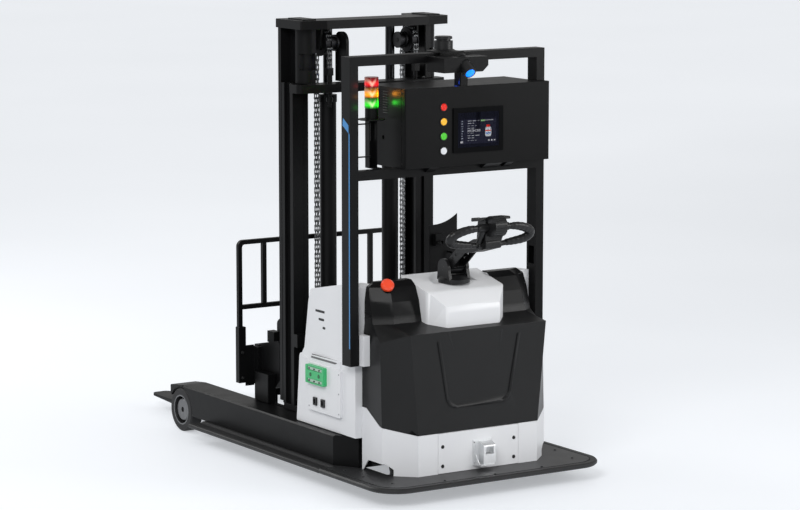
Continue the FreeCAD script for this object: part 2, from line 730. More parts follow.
def side_cabinets():
    """White side cabinets with a raised service panel, cooling slots and a gantry lug."""
    profile = [
        (BULKHEAD_Y, CABINET_BOTTOM), (CABINET_FRONT, CABINET_BOTTOM), (624, 330),
        (599, 622), (562, 668), (519, 925), (496, 988), (160, 1054), (BULKHEAD_Y, 1060),
    ]
    body = side_prism(profile, CABINET_INNER, CABINET_OUTER, [0, 8, 0, 20, 30, 30, 24, 30, 0])
    upper = side_prism([(0, 690), (620, 600), (620, 1200), (0, 1200)], CABINET_OUTER - 9,
                       CABINET_OUTER + 1, [0, 90, 0, 0])
    body = body.cut(upper)
    panel = side_prism([(166, 352), (490, 352), (490, 604), (166, 604)], CABINET_OUTER,
                       CABINET_OUTER + CABINET_PANEL, 10)
    ledge = side_prism([(185, 604), (490, 604), (484, 642), (185, 648)], CABINET_OUTER - 9,
                       CABINET_OUTER + 4, 0)
    slots = []
    for index, (start, end) in enumerate(((356, 450), (362, 418), (350, 378))):
        level = 880 - 42 * index
        slots.append(side_prism([(start, level - 6), (start, level + 6), (end, level + 6),
                                 (end, level - 6)], CABINET_OUTER - 30, CABINET_OUTER + 2, 5))
    lug = box(BODY_HALF_WIDTH + 1, CABINET_OUTER, -36, BULKHEAD_Y + 1, 655, 812)
    right = fuse(body, panel, ledge, lug).cut(Part.makeCompound(slots))
    return Part.makeCompound([right, mirrored(right)])


def charging_block():
    """Green charging contact block on the left service panel."""
    outside = -CABINET_OUTER - CABINET_PANEL
    block = side_prism([(300, 499), (300, 596), (480, 596), (480, 499)], outside - 22, outside, 6)
    recess = [side_prism([(316, z), (316, z + 20), (464, z + 20), (464, z)], outside - 23,
                         outside - 17, 3) for z in (505, 569)]
    return block.cut(Part.makeCompound(recess))


def service_sockets():
    """Two black service sockets under the charging block."""
    outside = -CABINET_OUTER - CABINET_PANEL
    sockets = []
    for y in (335, 412):
        body = box(outside - 8, outside, y - 17, y + 17, 384, 426)
        mouth = box(outside - 9, outside - 2, y - 9, y + 9, 392, 418)
        sockets.append(body.cut(mouth))
    return Part.makeCompound(sockets)


# ---------------------------------------------------------------- frame inside the body
def chassis_frame():
    """Welded frame between the legs: floor, bulkhead, drive deck and caster pedestals."""
    inner = LEG_INNER
    base = PLATE_TOP + 15
    start = STEER_Y + TURNTABLE_RADIUS + 25
    floor = box(-inner, inner, start, CABINET_FRONT, base, base + 16)
    sill = box(-inner, inner, CABINET_FRONT - 24, CABINET_FRONT, base, LEG_TOP)
    bulkhead = box(-CABINET_INNER, CABINET_INNER, BULKHEAD_Y, BULKHEAD_Y + 10, DECK_Z,
                   HOUSING_BOTTOM - 50)
    deck = plan_prism([(-inner, DECK_REAR + 60), (60 - inner, DECK_REAR), (inner - 60, DECK_REAR),
                       (inner, DECK_REAR + 60), (inner, start + 12), (-inner, start + 12)],
                      DECK_Z, DECK_Z + DECK_THICKNESS)
    riser = box(-inner, inner, start, start + 12, base, DECK_Z)
    rear_post = box(240, 280, DECK_REAR, DECK_REAR + 12, PLATE_TOP, DECK_Z)
    pedestal_base = caster_top() + CLEAR
    pedestal = rod((CASTER_X, CASTER_Y, pedestal_base), Z_AXIS, 50, DECK_Z - pedestal_base)
    frame = fuse(floor, sill, bulkhead, deck, riser, rear_post, mirrored(rear_post), pedestal,
                 mirrored(pedestal))
    bore = rod((0, STEER_Y, DECK_Z - 1), Z_AXIS, NECK_RADIUS + FIT, DECK_THICKNESS + 2)
    motor_bay = rod((0, STEER_Y, DECK_Z + DECK_THICKNESS + 1), Z_AXIS, MOTOR_RADIUS + 12, 400)
    pins = [rod((side * CASTER_X, CASTER_Y, pedestal_base - 1), Z_AXIS, CASTER_PIN + FIT, 52)
            for side in (-1, 1)]
    return frame.cut(Part.makeCompound([bore, motor_bay] + pins))


def battery():
    """Traction battery in its tray, between the cabinets."""
    tray = box(-CABINET_INNER + 8, CABINET_INNER - 8, 340, CABINET_FRONT - 26, PLATE_TOP + 31,
               BATTERY_TOP)
    tray = tray.makeFillet(10.0, [edge for edge in tray.Edges
                                  if edge.BoundBox.ZLength > 100])
    lid_top = BATTERY_TOP + BATTERY_LID
    lid = box(-CABINET_INNER + 20, CABINET_INNER - 20, 352, CABINET_FRONT - 38, BATTERY_TOP, lid_top)
    grips = [box(x - 45, x + 45, 450, 490, lid_top, lid_top + BATTERY_GRIP) for x in (-250, 250)]
    return fuse(tray, lid, *grips)


def power_unit():
    """Hydraulic power unit: oil tank, pump motor and valve block."""
    z = PLATE_TOP + 31
    tank = box(-380, -60, 120, 320, z, 520)
    tank = tank.makeFillet(14.0, [edge for edge in tank.Edges if edge.BoundBox.ZLength > 100])
    filler = rod((-300, 220, 520), Z_AXIS, 26, 22)
    block = box(40, 150, 150, 290, z, z + 120)
    motor = rod((95, 220, z + 120), Z_AXIS, 62, 210)
    valves = [rod((190, 160 + 45 * step, z + 60), Z_AXIS, 16, 90) for step in range(3)]
    manifold = box(150, 225, 140, 300, z, z + 60)
    pipe = rod((-60, 220, z + 60), X_AXIS, 14, 100)
    return fuse(tank, filler, block, motor, manifold, pipe, *valves)


def safety_scanners():
    """Laser scanners low in the two rear corners."""
    body = rod((SCANNER_X, SCANNER_Y, PLATE_TOP), Z_AXIS, 34, 62)
    cap = rod((SCANNER_X, SCANNER_Y, PLATE_TOP + 62), Z_AXIS, 30, 34)
    return both_sides(body, cap)


# ---------------------------------------------------------------- gantry and control box
def tube_frame(x0, x1, y0, y1, z0, z1, along):
    """Rectangular tube with open ends along one axis."""
    wall = TUBE_WALL
    outer = box(x0, x1, y0, y1, z0, z1)
    if along == "z":
        return outer.cut(box(x0 + wall, x1 - wall, y0 + wall, y1 - wall, z0 - 1, z1 + 1))
    return outer.cut(box(x0 - 1, x1 + 1, y0 + wall, y1 - wall, z0 + wall, z1 - wall))


def gantry_frame():
    """Tall portal of rectangular tube with a lower support bar."""
    half = GANTRY_HALF_WIDTH
    inner = half - GANTRY_TUBE
    post = tube_frame(inner, half, 0, GANTRY_DEPTH, GANTRY_BOTTOM, GANTRY_TOP - GANTRY_TUBE, "z")
    bar = box(-half, half, 0, GANTRY_DEPTH, GANTRY_TOP - GANTRY_TUBE + 2, GANTRY_TOP)
    collar = box(inner, half, 0, GANTRY_DEPTH, GANTRY_TOP - GANTRY_TUBE - 1,
                 GANTRY_TOP - GANTRY_TUBE + 2)
    support = box(-inner, inner, 0, GANTRY_TUBE, BOX_BOTTOM - GANTRY_TUBE, BOX_BOTTOM)
    foot = box(CABINET_OUTER + 1, inner, 2, GANTRY_DEPTH - 2, GANTRY_BOTTOM + 4, 812)
    frame = fuse(post, mirrored(post), bar, collar, mirrored(collar), support, foot,
                 mirrored(foot))
    window = box(inner - 1, inner + TUBE_WALL + 1, 14, 65, 1090, 1185)
    return frame.cut(window)


def control_box():
    """Sheet-metal control box with a stepped back, louvres and button bores."""
    inner = GANTRY_HALF_WIDTH - GANTRY_TUBE
    plan = [
        (BOX_LEFT, BOX_REAR), (BOX_RIGHT, BOX_REAR), (BOX_RIGHT, -1), (inner - 5, -1),
        (inner - 5, BOX_FRONT), (BOX_LEFT, BOX_FRONT),
    ]
    body = plan_prism(plan, BOX_BOTTOM, BOX_TOP, [6, 6, 0, 0, 6, 6])
    seam = box(BOX_LEFT - 1, BOX_LEFT + 2, BOX_REAR + 34, BOX_REAR + 37, BOX_BOTTOM - 1,
               BOX_TOP + 1)
    louvres = [box(BOX_LEFT - 1, BOX_LEFT + 4, 89, 182, BOX_TOP - 112 + 10 * step,
                   BOX_TOP - 108 + 10 * step) for step in range(10)]
    bores = [rod((BUTTON_X, BOX_REAR - 1, z), Y_AXIS, BUTTON_RADIUS + FIT, 31)
             for z in button_heights()]
    knockout = rod((BOX_LEFT - 1, 138, 1802), X_AXIS, 11, 8)
    gussets = []
    for x, width in ((-150, 56), (198, 101), (330, 44)):
        gussets.append(side_prism([(BOX_REAR + 12, BOX_BOTTOM), (-2, BOX_BOTTOM),
                                   (-2, BOX_BOTTOM - 30)], x, x + width))
    body = body.cut(Part.makeCompound([seam, knockout] + louvres + bores))
    return fuse(body, *gussets)


def button_heights():
    """Centre heights of the four push buttons, top first."""
    return [BUTTON_TOP_Z - BUTTON_PITCH * index for index in range(4)]


def push_button(height):
    """Round push button with a bevelled rim."""
    front = BOX_REAR - BUTTON_STANDOFF
    crown = Part.makeCone(BUTTON_RADIUS - 2.5, BUTTON_RADIUS, 2.5, Vector(BUTTON_X, front, height),
                          Y_AXIS)
    return fuse(crown, rod((BUTTON_X, front + 2.5, height), Y_AXIS, BUTTON_RADIUS,
                           BUTTON_STANDOFF + 21.5))


def hmi_panel():
    """Touch panel with a raised bezel."""
    bezel = rear_prism([(HMI_LEFT, HMI_BOTTOM), (HMI_LEFT, HMI_TOP), (HMI_RIGHT, HMI_TOP),
                        (HMI_RIGHT, HMI_BOTTOM)], BOX_REAR - 8, BOX_REAR, 4)
    edge = 26
    screen = box(HMI_LEFT + edge, HMI_RIGHT - edge, BOX_REAR - 9, BOX_REAR - 5,
                 HMI_BOTTOM + edge, HMI_TOP - edge)
    return bezel.cut(screen)


class StackLight:
    """Place and sizes of the three-colour signal tower."""
    X = -408.0
    Y = 100.0
    RADIUS = 36.0
    BOTTOM = 1960.0
    TIER = 53.0


def stack_light():
    """Three lens tiers, each with a waist groove."""
    tiers = []
    for index in range(3):
        low = StackLight.BOTTOM + StackLight.TIER * index
        tier = rod((StackLight.X, StackLight.Y, low), Z_AXIS, StackLight.RADIUS, StackLight.TIER)
        groove = ring((StackLight.X, StackLight.Y, low), Z_AXIS, StackLight.RADIUS + 1,
                      StackLight.RADIUS - 2, 2.5)
        tiers.append(tier.cut(groove))
    return Part.makeCompound(tiers)


def stack_light_bracket():
    """Black lamp base on a disc, a slotted channel and two stays to the gantry post."""
    s = StackLight
    disc_z = s.BOTTOM - 55
    base = rod((s.X, s.Y, disc_z), Z_AXIS, s.RADIUS - 2, 55)
    disc = rod((s.X, s.Y, disc_z - 5), Z_AXIS, 70, 5)
    half = 24
    low = BOX_BOTTOM
    web = box(s.X - half, s.X + half, s.Y + 20, s.Y + 24, low, disc_z - 5)
    flanges = [box(x, x + 4, s.Y - 16, s.Y + 24, low, disc_z - 5)
               for x in (s.X - half, s.X + half - 4)]
    foot = box(s.X - half, s.X + half, GANTRY_TUBE - 10, s.Y + 24, low, low + 4)
    slot = rear_prism([(s.X - 7, 1790), (s.X - 7, 1880), (s.X + 7, 1880), (s.X + 7, 1790)],
                      s.Y + 10, s.Y + 36, 6.5)
    post = -(GANTRY_HALF_WIDTH - GANTRY_TUBE)
    stays = [box(post, s.X - half + 2, s.Y - 27, s.Y - 21, z, z + 7) for z in (1712, 1880)]
    ends = [box(s.X - half, s.X - half + 4, s.Y - 27, s.Y - 10, z, z + 7) for z in (1712, 1880)]
    return fuse(base, disc, web, *flanges, foot, *stays, *ends).cut(slot)


class Lidar:
    """Place and sizes of the navigation scanner and of the lamp beside it."""
    X = 0.0
    Y = 54.0
    PLATE = 6.0
    FLANGE_RADIUS = 67.0
    BODY_RADIUS = 49.0
    CAP_RADIUS = 46.0
    LAMP_RADIUS = 32.0
    LAMP_LENGTH = 118.0
    LAMP_LENS = (0.0, -192.0, 2139.0)
    LAMP_TILT = 38.0
    BRACKET_HALF = 136.0
    BRACKET_REAR = -157.0
    BRACKET_LOW = 2142.0
    BRACKET_TOP = 2219.0


def lidar_bracket():
    """Folded sheet hood behind the crossbar with a shelf over it for the scanner."""
    sheet = Lidar.PLATE
    half = Lidar.BRACKET_HALF
    rear = Lidar.BRACKET_REAR
    low = Lidar.BRACKET_LOW
    high = Lidar.BRACKET_TOP
    shelf = plan_prism([(-72, -CLEAR * 40), (72, -CLEAR * 40), (72, 128), (-72, 128)], GANTRY_TOP,
                       GANTRY_TOP + sheet, [0, 0, 30, 30])
    riser = box(-72, 72, -20 - sheet, -20, high, GANTRY_TOP + sheet)
    roof = box(-half, half, rear, 0, high - sheet, high)
    face = rear_prism([(-half, low), (-half, high), (half, high), (half, low + 30),
                       (half - 34, low)], rear, rear + sheet)
    left = box(-half, -half + sheet, rear, 0, low, high)
    right = box(half - sheet, half, rear, 0, low + 30, high)
    strut = box(34, 58, -46, -40, BOX_TOP, high)
    foot = box(20, 72, -46, -22, BOX_TOP, BOX_TOP + 5)
    hood = fuse(shelf, riser, roof, face, left, right, strut, foot)
    lens = Vector(*Lidar.LAMP_LENS)
    back = lamp_axis()
    port = Part.makeCylinder(Lidar.LAMP_RADIUS + CLEAR, Lidar.LAMP_LENGTH + 20, lens - back * 10, back)
    return hood.cut(port)


def lamp_axis():
    """Direction from the lens of the spot lamp to its back."""
    tilt = math.radians(Lidar.LAMP_TILT)
    return Vector(0, math.cos(tilt), math.sin(tilt))


def lidar_base():
    """Fixed flange and body of the scanner."""
    seat = GANTRY_TOP + Lidar.PLATE
    flange = Part.makeCone(Lidar.FLANGE_RADIUS, Lidar.BODY_RADIUS + 2, 9,
                           Vector(Lidar.X, Lidar.Y, seat))
    body = rod((Lidar.X, Lidar.Y, seat + 9), Z_AXIS, Lidar.BODY_RADIUS, 42)
    return fuse(flange, body)


def lidar_head():
    """Turning mirror head with its cap."""
    seat = GANTRY_TOP + Lidar.PLATE + 51 + CLEAR
    neck = rod((Lidar.X, Lidar.Y, seat), Z_AXIS, Lidar.BODY_RADIUS - 12, 9)
    cap = rod((Lidar.X, Lidar.Y, seat + 9), Z_AXIS, Lidar.CAP_RADIUS, 10)
    crown = Part.makeCone(Lidar.CAP_RADIUS, Lidar.CAP_RADIUS - 4, 4,
                          Vector(Lidar.X, Lidar.Y, seat + 19))
    return fuse(neck, cap, crown)


def spot_lamp():
    """Finned warning lamp that throws its beam on the floor behind the truck."""
    lens = Vector(*Lidar.LAMP_LENS)
    back = lamp_axis()
    body = Part.makeCylinder(Lidar.LAMP_RADIUS, Lidar.LAMP_LENGTH, lens, back)
    dish = Part.makeCylinder(Lidar.LAMP_RADIUS - 7, 10, lens - back, back)
    fins = []
    for step in range(4):
        start = lens + back * (Lidar.LAMP_LENGTH - 18 - 12 * step)
        fins.append(Part.makeCylinder(Lidar.LAMP_RADIUS + 1, 4, start, back).cut(
            Part.makeCylinder(Lidar.LAMP_RADIUS - 5, 4, start, back)))
    return body.cut(Part.makeCompound([dish] + fins))


def valve_panel():
    """Curved splash guard on the right, with a small valve block and a hook."""
    left = 298
    right = 479
    rear = CABINET_FRONT + 6
    edge = Part.Arc(Vector(left, rear, 1245), Vector(372, rear, 1248),
                    Vector(right, rear, 1296)).toShape()
    low = 905
    rest = Part.makePolygon([Vector(right, rear, 1296), Vector(right, rear, low),
                             Vector(left, rear, low), Vector(left, rear, 1245)])
    sheet = Part.Face(Part.Wire([edge] + rest.Edges)).extrude(Vector(0, 5, 0))
    foot = box(CABINET_INNER + 6, right, 524, rear + 5, low, low + 6)
    block = box(322, 372, rear - 30, rear, 1130, 1195)
    ports = [rod((x, rear - 30, 1150), Y_AXIS * -1, 9, 26) for x in (334, 360)]
    hook = [rod((422, rear, 1090), Y_AXIS * -1, 5, 40), rod((422, rear - 38, 1050), Z_AXIS, 5, 44)]
    return fuse(sheet, foot, block, *ports, *hook)


# ---------------------------------------------------------------- steering, tiller and drive
def tiller_base():
    """Round tiller foot, flared into two cheeks with pivot discs, and the steering column."""
    seat = TILLER_SEAT_Z + CLEAR
    t = Tiller
    foot = rod((0, STEER_Y, seat), Z_AXIS, t.FOOT_RADIUS, 20)
    dome = Part.makeCone(t.FOOT_RADIUS, t.FOOT_RADIUS - 26, 18, Vector(0, STEER_Y, seat + 20))
    column = rod((0, STEER_Y, 600), Z_AXIS, COLUMN_RADIUS, seat - 600)
    disc = rod((t.CHEEK_INNER, t.PIVOT_Y, t.PIVOT_Z), X_AXIS, t.DISC_RADIUS, t.CHEEK)
    flare = side_prism([(STEER_Y - 58, seat + 12), (STEER_Y + 60, seat + 12),
                        (t.PIVOT_Y + 47, t.PIVOT_Z - 8), (t.PIVOT_Y + 20, t.PIVOT_Z + 20),
                        (t.PIVOT_Y - 47, t.PIVOT_Z - 8)],
                       t.CHEEK_INNER, t.CHEEK_INNER + t.CHEEK, [6, 6, 0, 0, 0])
    whole = fuse(foot, dome, column, disc, flare, mirrored(disc), mirrored(flare))
    sweep = rod((-t.CHEEK_INNER, t.PIVOT_Y, t.PIVOT_Z), X_AXIS, t.KNUCKLE + 4, 2 * t.CHEEK_INNER)
    bore = rod((-90, t.PIVOT_Y, t.PIVOT_Z), X_AXIS, t.PIN + FIT, 180)
    return whole.cut(sweep).cut(bore)


class Tiller:
    """Pivot, angle and sizes of the tiller arm and head."""
    FOOT_RADIUS = 82.0
    PIVOT_Y = STEER_Y + 7
    PIVOT_Z = TILLER_SEAT_Z + 78
    PIN = 10.0
    KNUCKLE = 36.0
    DISC_RADIUS = 48.0
    CHEEK_INNER = 48.0
    CHEEK = 18.0
    ARM_HALF = 40.0
    ARM_DEPTH = 56.0
    ARM_LENGTH = 190.0
    RISE = 40.0
    HEAD_FRONT = -86.0
    HEAD_REAR = -362.0
    HEAD_HALF = 44.0
    BUTTON_Y = -387.0
    BUTTON_Z = 257.0
    BUTTON_RADIUS = 53.0
    BUTTON_HALF = 36.0
    BUTTON_TRAVEL = 12.0
    LOOP_TOP = (93.0, -364.0, 248.0)
    LOOP_NOSE = (249.0, -322.0, 171.0)
    LOOP_LOW = (70.0, -316.0, 146.0)
    GRIP = 14.0
    THROTTLE_Y = -318.0
    THROTTLE_Z = 283.0
    THROTTLE_RADIUS = 6.0

    @classmethod
    def at(cls, y, z):
        """Place of a point given from the pivot."""
        return (cls.PIVOT_Y + y, cls.PIVOT_Z + z)


def tiller_arm():
    """Perforated channel arm with a pivot knuckle and pin."""
    t = Tiller
    y = t.PIVOT_Y
    z = t.PIVOT_Z
    knuckle = rod((CLEAR - t.CHEEK_INNER, y, z), X_AXIS, t.KNUCKLE, 2 * (t.CHEEK_INNER - CLEAR))
    pin = rod((-t.CHEEK_INNER - t.CHEEK, y, z), X_AXIS, t.PIN, 2 * (t.CHEEK_INNER + t.CHEEK))
    half = t.ARM_DEPTH / 2
    beam = box(-t.ARM_HALF, t.ARM_HALF, y - t.ARM_LENGTH, y, z - half, z + half)
    hollow = box(-t.ARM_HALF + 7, t.ARM_HALF - 7, y - t.ARM_LENGTH + 12, y - t.KNUCKLE - 6,
                 z - half - 1, z + half - 8)
    holes = [rod((-t.ARM_HALF - 1, y - reach, z + 6), X_AXIS, 7, 2 * t.ARM_HALF + 2)
             for reach in (74, 112, 150)]
    beam = beam.cut(Part.makeCompound([hollow] + holes))
    return tilted(fuse(knuckle, pin, beam), (0, y, z), X_AXIS, -t.RISE)


def grip_loop():
    """Closed hand loop on the right of the head, swept round a rounded outline."""
    t = Tiller
    corners = []
    for x, share in ((60, 1.0), (t.LOOP_TOP[0] + 40, 1.0), (t.LOOP_NOSE[0] - 24, 0.72),
                     (t.LOOP_NOSE[0], 0.3), (t.LOOP_NOSE[0] - 30, -0.05), (60, -0.24)):
        low = Vector(0, t.LOOP_NOSE[1], t.LOOP_NOSE[2])
        top = Vector(0, t.LOOP_TOP[1], t.LOOP_TOP[2])
        point = low + (top - low) * share
        corners.append((x, t.PIVOT_Y + point.y, t.PIVOT_Z + point.z))
    loop = rounded_wire(corners, [18, 60, 40, 24, 30, 18])
    pieces = []
    for edge in loop.Edges:
        start = edge.valueAt(edge.FirstParameter)
        end = edge.valueAt(edge.LastParameter)
        tangent = edge.tangentAt(edge.FirstParameter)
        face = Part.Face(Part.Wire([Part.makeCircle(t.GRIP, start, tangent)]))
        if edge.Curve.TypeId == "Part::GeomLine":
            pieces.append(face.extrude(end - start))
        else:
            sweep = math.degrees(edge.LastParameter - edge.FirstParameter)
            pieces.append(face.revolve(edge.Curve.Center, edge.Curve.Axis, sweep))
    return fuse(*pieces)


def tiller_head():
    """Control head: tray under the arm, neck, side hubs and two hand loops."""
    t = Tiller
    tray_outline = [t.at(t.HEAD_FRONT, 84), t.at(t.HEAD_FRONT - 10, 112), t.at(-250, 178),
                    t.at(t.HEAD_REAR, 184), t.at(t.HEAD_REAR, 141), t.at(-290, 122),
                    t.at(-214, 102)]
    tray = side_prism(tray_outline, -t.HEAD_HALF, t.HEAD_HALF, [6, 14, 30, 14, 12, 40, 30])
    neck = side_prism([t.at(-276, 160), t.at(-286, 270), t.at(-318, 296),
                       t.at(t.BUTTON_Y + 30, 296), t.at(t.BUTTON_Y + 30, 160)],
                      -t.HEAD_HALF, t.HEAD_HALF, [0, 16, 10, 0, 0])
    hub_y, hub_z = t.at(t.LOOP_TOP[1] + 4, t.LOOP_TOP[2])
    hub = rod((-t.LOOP_TOP[0], hub_y, hub_z), X_AXIS, 20, 2 * t.LOOP_TOP[0])
    low_y, low_z = t.at(t.LOOP_LOW[1], t.LOOP_LOW[2] + 6)
    low_hub = rod((-t.LOOP_LOW[0], low_y, low_z), X_AXIS, 20, 2 * t.LOOP_LOW[0])
    loop = grip_loop()
    head = fuse(tray, neck, hub, low_hub, loop, mirrored(loop))
    reach = t.BUTTON_RADIUS + 0.5
    bay_y, bay_z = t.at(t.BUTTON_Y + t.BUTTON_TRAVEL, t.BUTTON_Z)
    button_bay = rod((-t.BUTTON_HALF - 1, bay_y, bay_z), X_AXIS, reach, 2 * t.BUTTON_HALF + 2)
    button_way = rod((-t.BUTTON_HALF - 1, bay_y - t.BUTTON_TRAVEL, bay_z), X_AXIS, reach,
                     2 * t.BUTTON_HALF + 2)
    bay_y, bay_z = t.at(t.THROTTLE_Y, t.THROTTLE_Z)
    throttle_bay = rod((-t.LOOP_TOP[0] - 1, bay_y, bay_z), X_AXIS, t.THROTTLE_RADIUS + CLEAR,
                       2 * t.LOOP_TOP[0] + 2)
    arm = box(-t.ARM_HALF - 0.3, t.ARM_HALF + 0.3, t.PIVOT_Y - t.ARM_LENGTH - 1, t.PIVOT_Y,
              t.PIVOT_Z - t.ARM_DEPTH / 2 - 1, t.PIVOT_Z + t.ARM_DEPTH / 2 + 0.3)
    arm = tilted(arm, (0, t.PIVOT_Y, t.PIVOT_Z), X_AXIS, -t.RISE)
    return head.cut(Part.makeCompound([button_bay, button_way, throttle_bay])).cut(arm)


def belly_button():
    """Ribbed drum at the end of the tiller, pressed in to reverse the truck."""
    t = Tiller
    y, z = t.at(t.BUTTON_Y, t.BUTTON_Z)
    drum = rod((-t.BUTTON_HALF, y, z), X_AXIS, t.BUTTON_RADIUS, 2 * t.BUTTON_HALF)
    ribs = []
    for step in range(8):
        groove = box(-t.BUTTON_HALF - 1, t.BUTTON_HALF + 1, y - t.BUTTON_RADIUS - 1,
                     y - t.BUTTON_RADIUS + 2.5, z - 1.6, z + 1.6)
        ribs.append(tilted(groove, (0, y, z), X_AXIS, -68 + 15 * step))
    return drum.cut(Part.makeCompound(ribs))


def throttle():
    """Butterfly throttle: a shaft across the head with a thumb wing at each end."""
    t = Tiller
    y, z = t.at(t.THROTTLE_Y, t.THROTTLE_Z)
    shaft = rod((-t.HEAD_HALF - 20, y, z), X_AXIS, t.THROTTLE_RADIUS, 2 * t.HEAD_HALF + 40)
    wing = side_prism([(y + 12, z - 6), (y + 10, z + 14), (y - 50, z + 17), (y - 56, z + 4)],
                      t.HEAD_HALF + 14, t.HEAD_HALF + 54, [6, 6, 6, 3])
    return fuse(shaft, wing, mirrored(wing))


def drive_unit():
    """Steered drive: gear case beside the wheel, turntable and vertical motor."""
    top = DECK_Z - CLEAR
    low = 2 * DRIVE_RADIUS + 28
    turntable = rod((0, STEER_Y, low), Z_AXIS, TURNTABLE_RADIUS, top - low)
    neck = rod((0, STEER_Y, top), Z_AXIS, NECK_RADIUS, DECK_THICKNESS + 8)
    motor = rod((0, STEER_Y, top + 22), Z_AXIS, MOTOR_RADIUS, 220)
    cap = rod((0, STEER_Y, top + 242), Z_AXIS, 70, 599 - top - 242)
    inside = DRIVE_WIDTH / 2 + 4
    case = side_prism([(STEER_Y - 56, 60), (STEER_Y + 56, 60), (STEER_Y + 74, low + 1),
                       (STEER_Y - 74, low + 1)], inside, inside + 46, [50, 50, 0, 0])
    shaft = rod((-inside, STEER_Y, DRIVE_RADIUS), X_AXIS, DRIVE_SHAFT, 2 * inside + 10)
    outer_arm = side_prism([(STEER_Y - 30, 85), (STEER_Y + 30, 85), (STEER_Y + 60, low + 1),
                            (STEER_Y - 60, low + 1)], -inside - 16, -inside, [26, 26, 0, 0])
    return fuse(turntable, neck, motor, cap, case, shaft, outer_arm)


def drive_wheel():
    """Drive tyre on its dished steel hub."""
    half = DRIVE_WIDTH / 2
    bore = DRIVE_SHAFT + FIT
    tyre = bored_wheel((-half, STEER_Y, DRIVE_RADIUS), DRIVE_RADIUS, DRIVE_WIDTH, bore, 6)
    dishes = [ring((x, STEER_Y, DRIVE_RADIUS), X_AXIS, 72, 34, 14) for x in (-half, half - 14)]
    return tyre.cut(Part.makeCompound(dishes))


def caster_fork():
    """Swivel fork of the right caster, trailing to the rear."""
    y = CASTER_Y - CASTER_TRAIL
    top = caster_top()
    crown_low = 2 * CASTER_RADIUS + 8
    plate = rod((CASTER_X, CASTER_Y, top - 12), Z_AXIS, 44, 12)
    crown = box(CASTER_X - 32, CASTER_X + 32, y - 20, CASTER_Y + 24, crown_low, top - 12)
    half = CASTER_WIDTH / 2 + 3
    cheek = side_prism([(y - 20, CASTER_RADIUS - 12), (y + 20, CASTER_RADIUS - 12),
                        (CASTER_Y + 24, crown_low + 2), (y - 20, crown_low + 2)],
                       CASTER_X + half, CASTER_X + half + 7, [16, 16, 0, 0])
    twin = cheek.copy()
    twin.translate(Vector(-2 * half - 7, 0, 0))
    pin = rod((CASTER_X, CASTER_Y, top), Z_AXIS, CASTER_PIN, 46)
    axle = rod((CASTER_X - half - 10, y, CASTER_RADIUS), X_AXIS, CASTER_AXLE, 2 * half + 20)
    return fuse(plate, crown, cheek, twin, pin, axle)


def caster_wheel():
    """Right caster wheel."""
    half = CASTER_WIDTH / 2
    return bored_wheel((CASTER_X - half, CASTER_Y - CASTER_TRAIL, CASTER_RADIUS), CASTER_RADIUS,
                       CASTER_WIDTH, CASTER_AXLE + FIT, 8)


# ---------------------------------------------------------------- mast
def reach_carriage():
    """Carriage under the mast: side plates with rollers that run in the leg channels."""
    outside = LEG_INNER - 3
    plate = box(400, outside, 690, 1240, PLATE_TOP + 15, MAST_FOOT)
    beam = box(-outside, outside, 690, 800, PLATE_TOP + 15, MAST_FOOT)
    mid = (LEG_BOTTOM + LEG_TOP) / 2.0
    radius = CHANNEL_HEIGHT / 2 - CLEAR
    rollers = []
    for y in (752, 1130):
        rollers.append(rod((outside - 1, y, mid), X_AXIS, 18, 8))
        rollers.append(rod((outside + 4, y, mid), X_AXIS, radius, CHANNEL_DEPTH - 12))
    guide = plan_prism([(400, 1093), (450, 1093), (450, 1234), (400, 1234)], MAST_FOOT, 425, 4)
    side = fuse(plate, guide, *rollers)
    return fuse(beam, side, mirrored(side))


def outer_mast():
    """Outer mast: two I-section uprights, base plate, low cross tie, yoke and chain anchors."""
    web_x = (MAST_HALF_WIDTH + UPRIGHT_INNER) / 2.0
    low = MAST_FOOT + BASE_PLATE
    front = UPRIGHT_FRONT
    upright = fuse(
        box(UPRIGHT_INNER, MAST_HALF_WIDTH, UPRIGHT_REAR, UPRIGHT_REAR + FLANGE, low, OUTER_TOP),
        box(UPRIGHT_INNER, MAST_HALF_WIDTH, front - FLANGE, front, low, OUTER_TOP),
        box(web_x - WEB / 2, web_x + WEB / 2, UPRIGHT_REAR, front, low, OUTER_TOP))
    base = box(-MAST_HALF_WIDTH, MAST_HALF_WIDTH, 690, 930, MAST_FOOT, low)
    yoke_half = [(YOKE_HALF_WIDTH, UPRIGHT_REAR), (YOKE_HALF_WIDTH, YOKE_REAR + 30),
                 (320, YOKE_REAR)]
    yoke = plan_prism(mirrored_outline(yoke_half), OUTER_TOP - YOKE_HEIGHT, OUTER_TOP,
                      [0, 30, 0, 0, 30, 0])
    tie = box(-MAST_HALF_WIDTH, MAST_HALF_WIDTH, UPRIGHT_REAR - 36, UPRIGHT_REAR - 16, TIE_Z,
              TIE_Z + 70)
    lugs = [box(*sorted((side * UPRIGHT_INNER, side * MAST_HALF_WIDTH)), UPRIGHT_REAR - 36,
                UPRIGHT_REAR, TIE_Z, TIE_Z + 70) for side in (-1, 1)]
    mast = fuse(upright, mirrored(upright), base, yoke, tie, *lugs)
    return fuse(mast, *chain_anchor(1), *chain_anchor(-1))


def chain_anchor(side):
    """Anchor block and threaded rod that pull the rear chain fall through the yoke."""
    x = side * SHEAVE_X
    y = SHEAVE_Y - SHEAVE_RADIUS - CHAIN_THICKNESS / 2
    block = box(x - 17, x + 17, y - 13, y + 13, CHAIN_ANCHOR_Z - 40, CHAIN_ANCHOR_Z)
    low = OUTER_TOP - YOKE_HEIGHT - 80
    stud = rod((x, y, low), Z_AXIS, 9, CHAIN_ANCHOR_Z - 40 - low)
    nut = rod((x, y, low + 30), Z_AXIS, 17, 22)
    return [block, stud, nut]


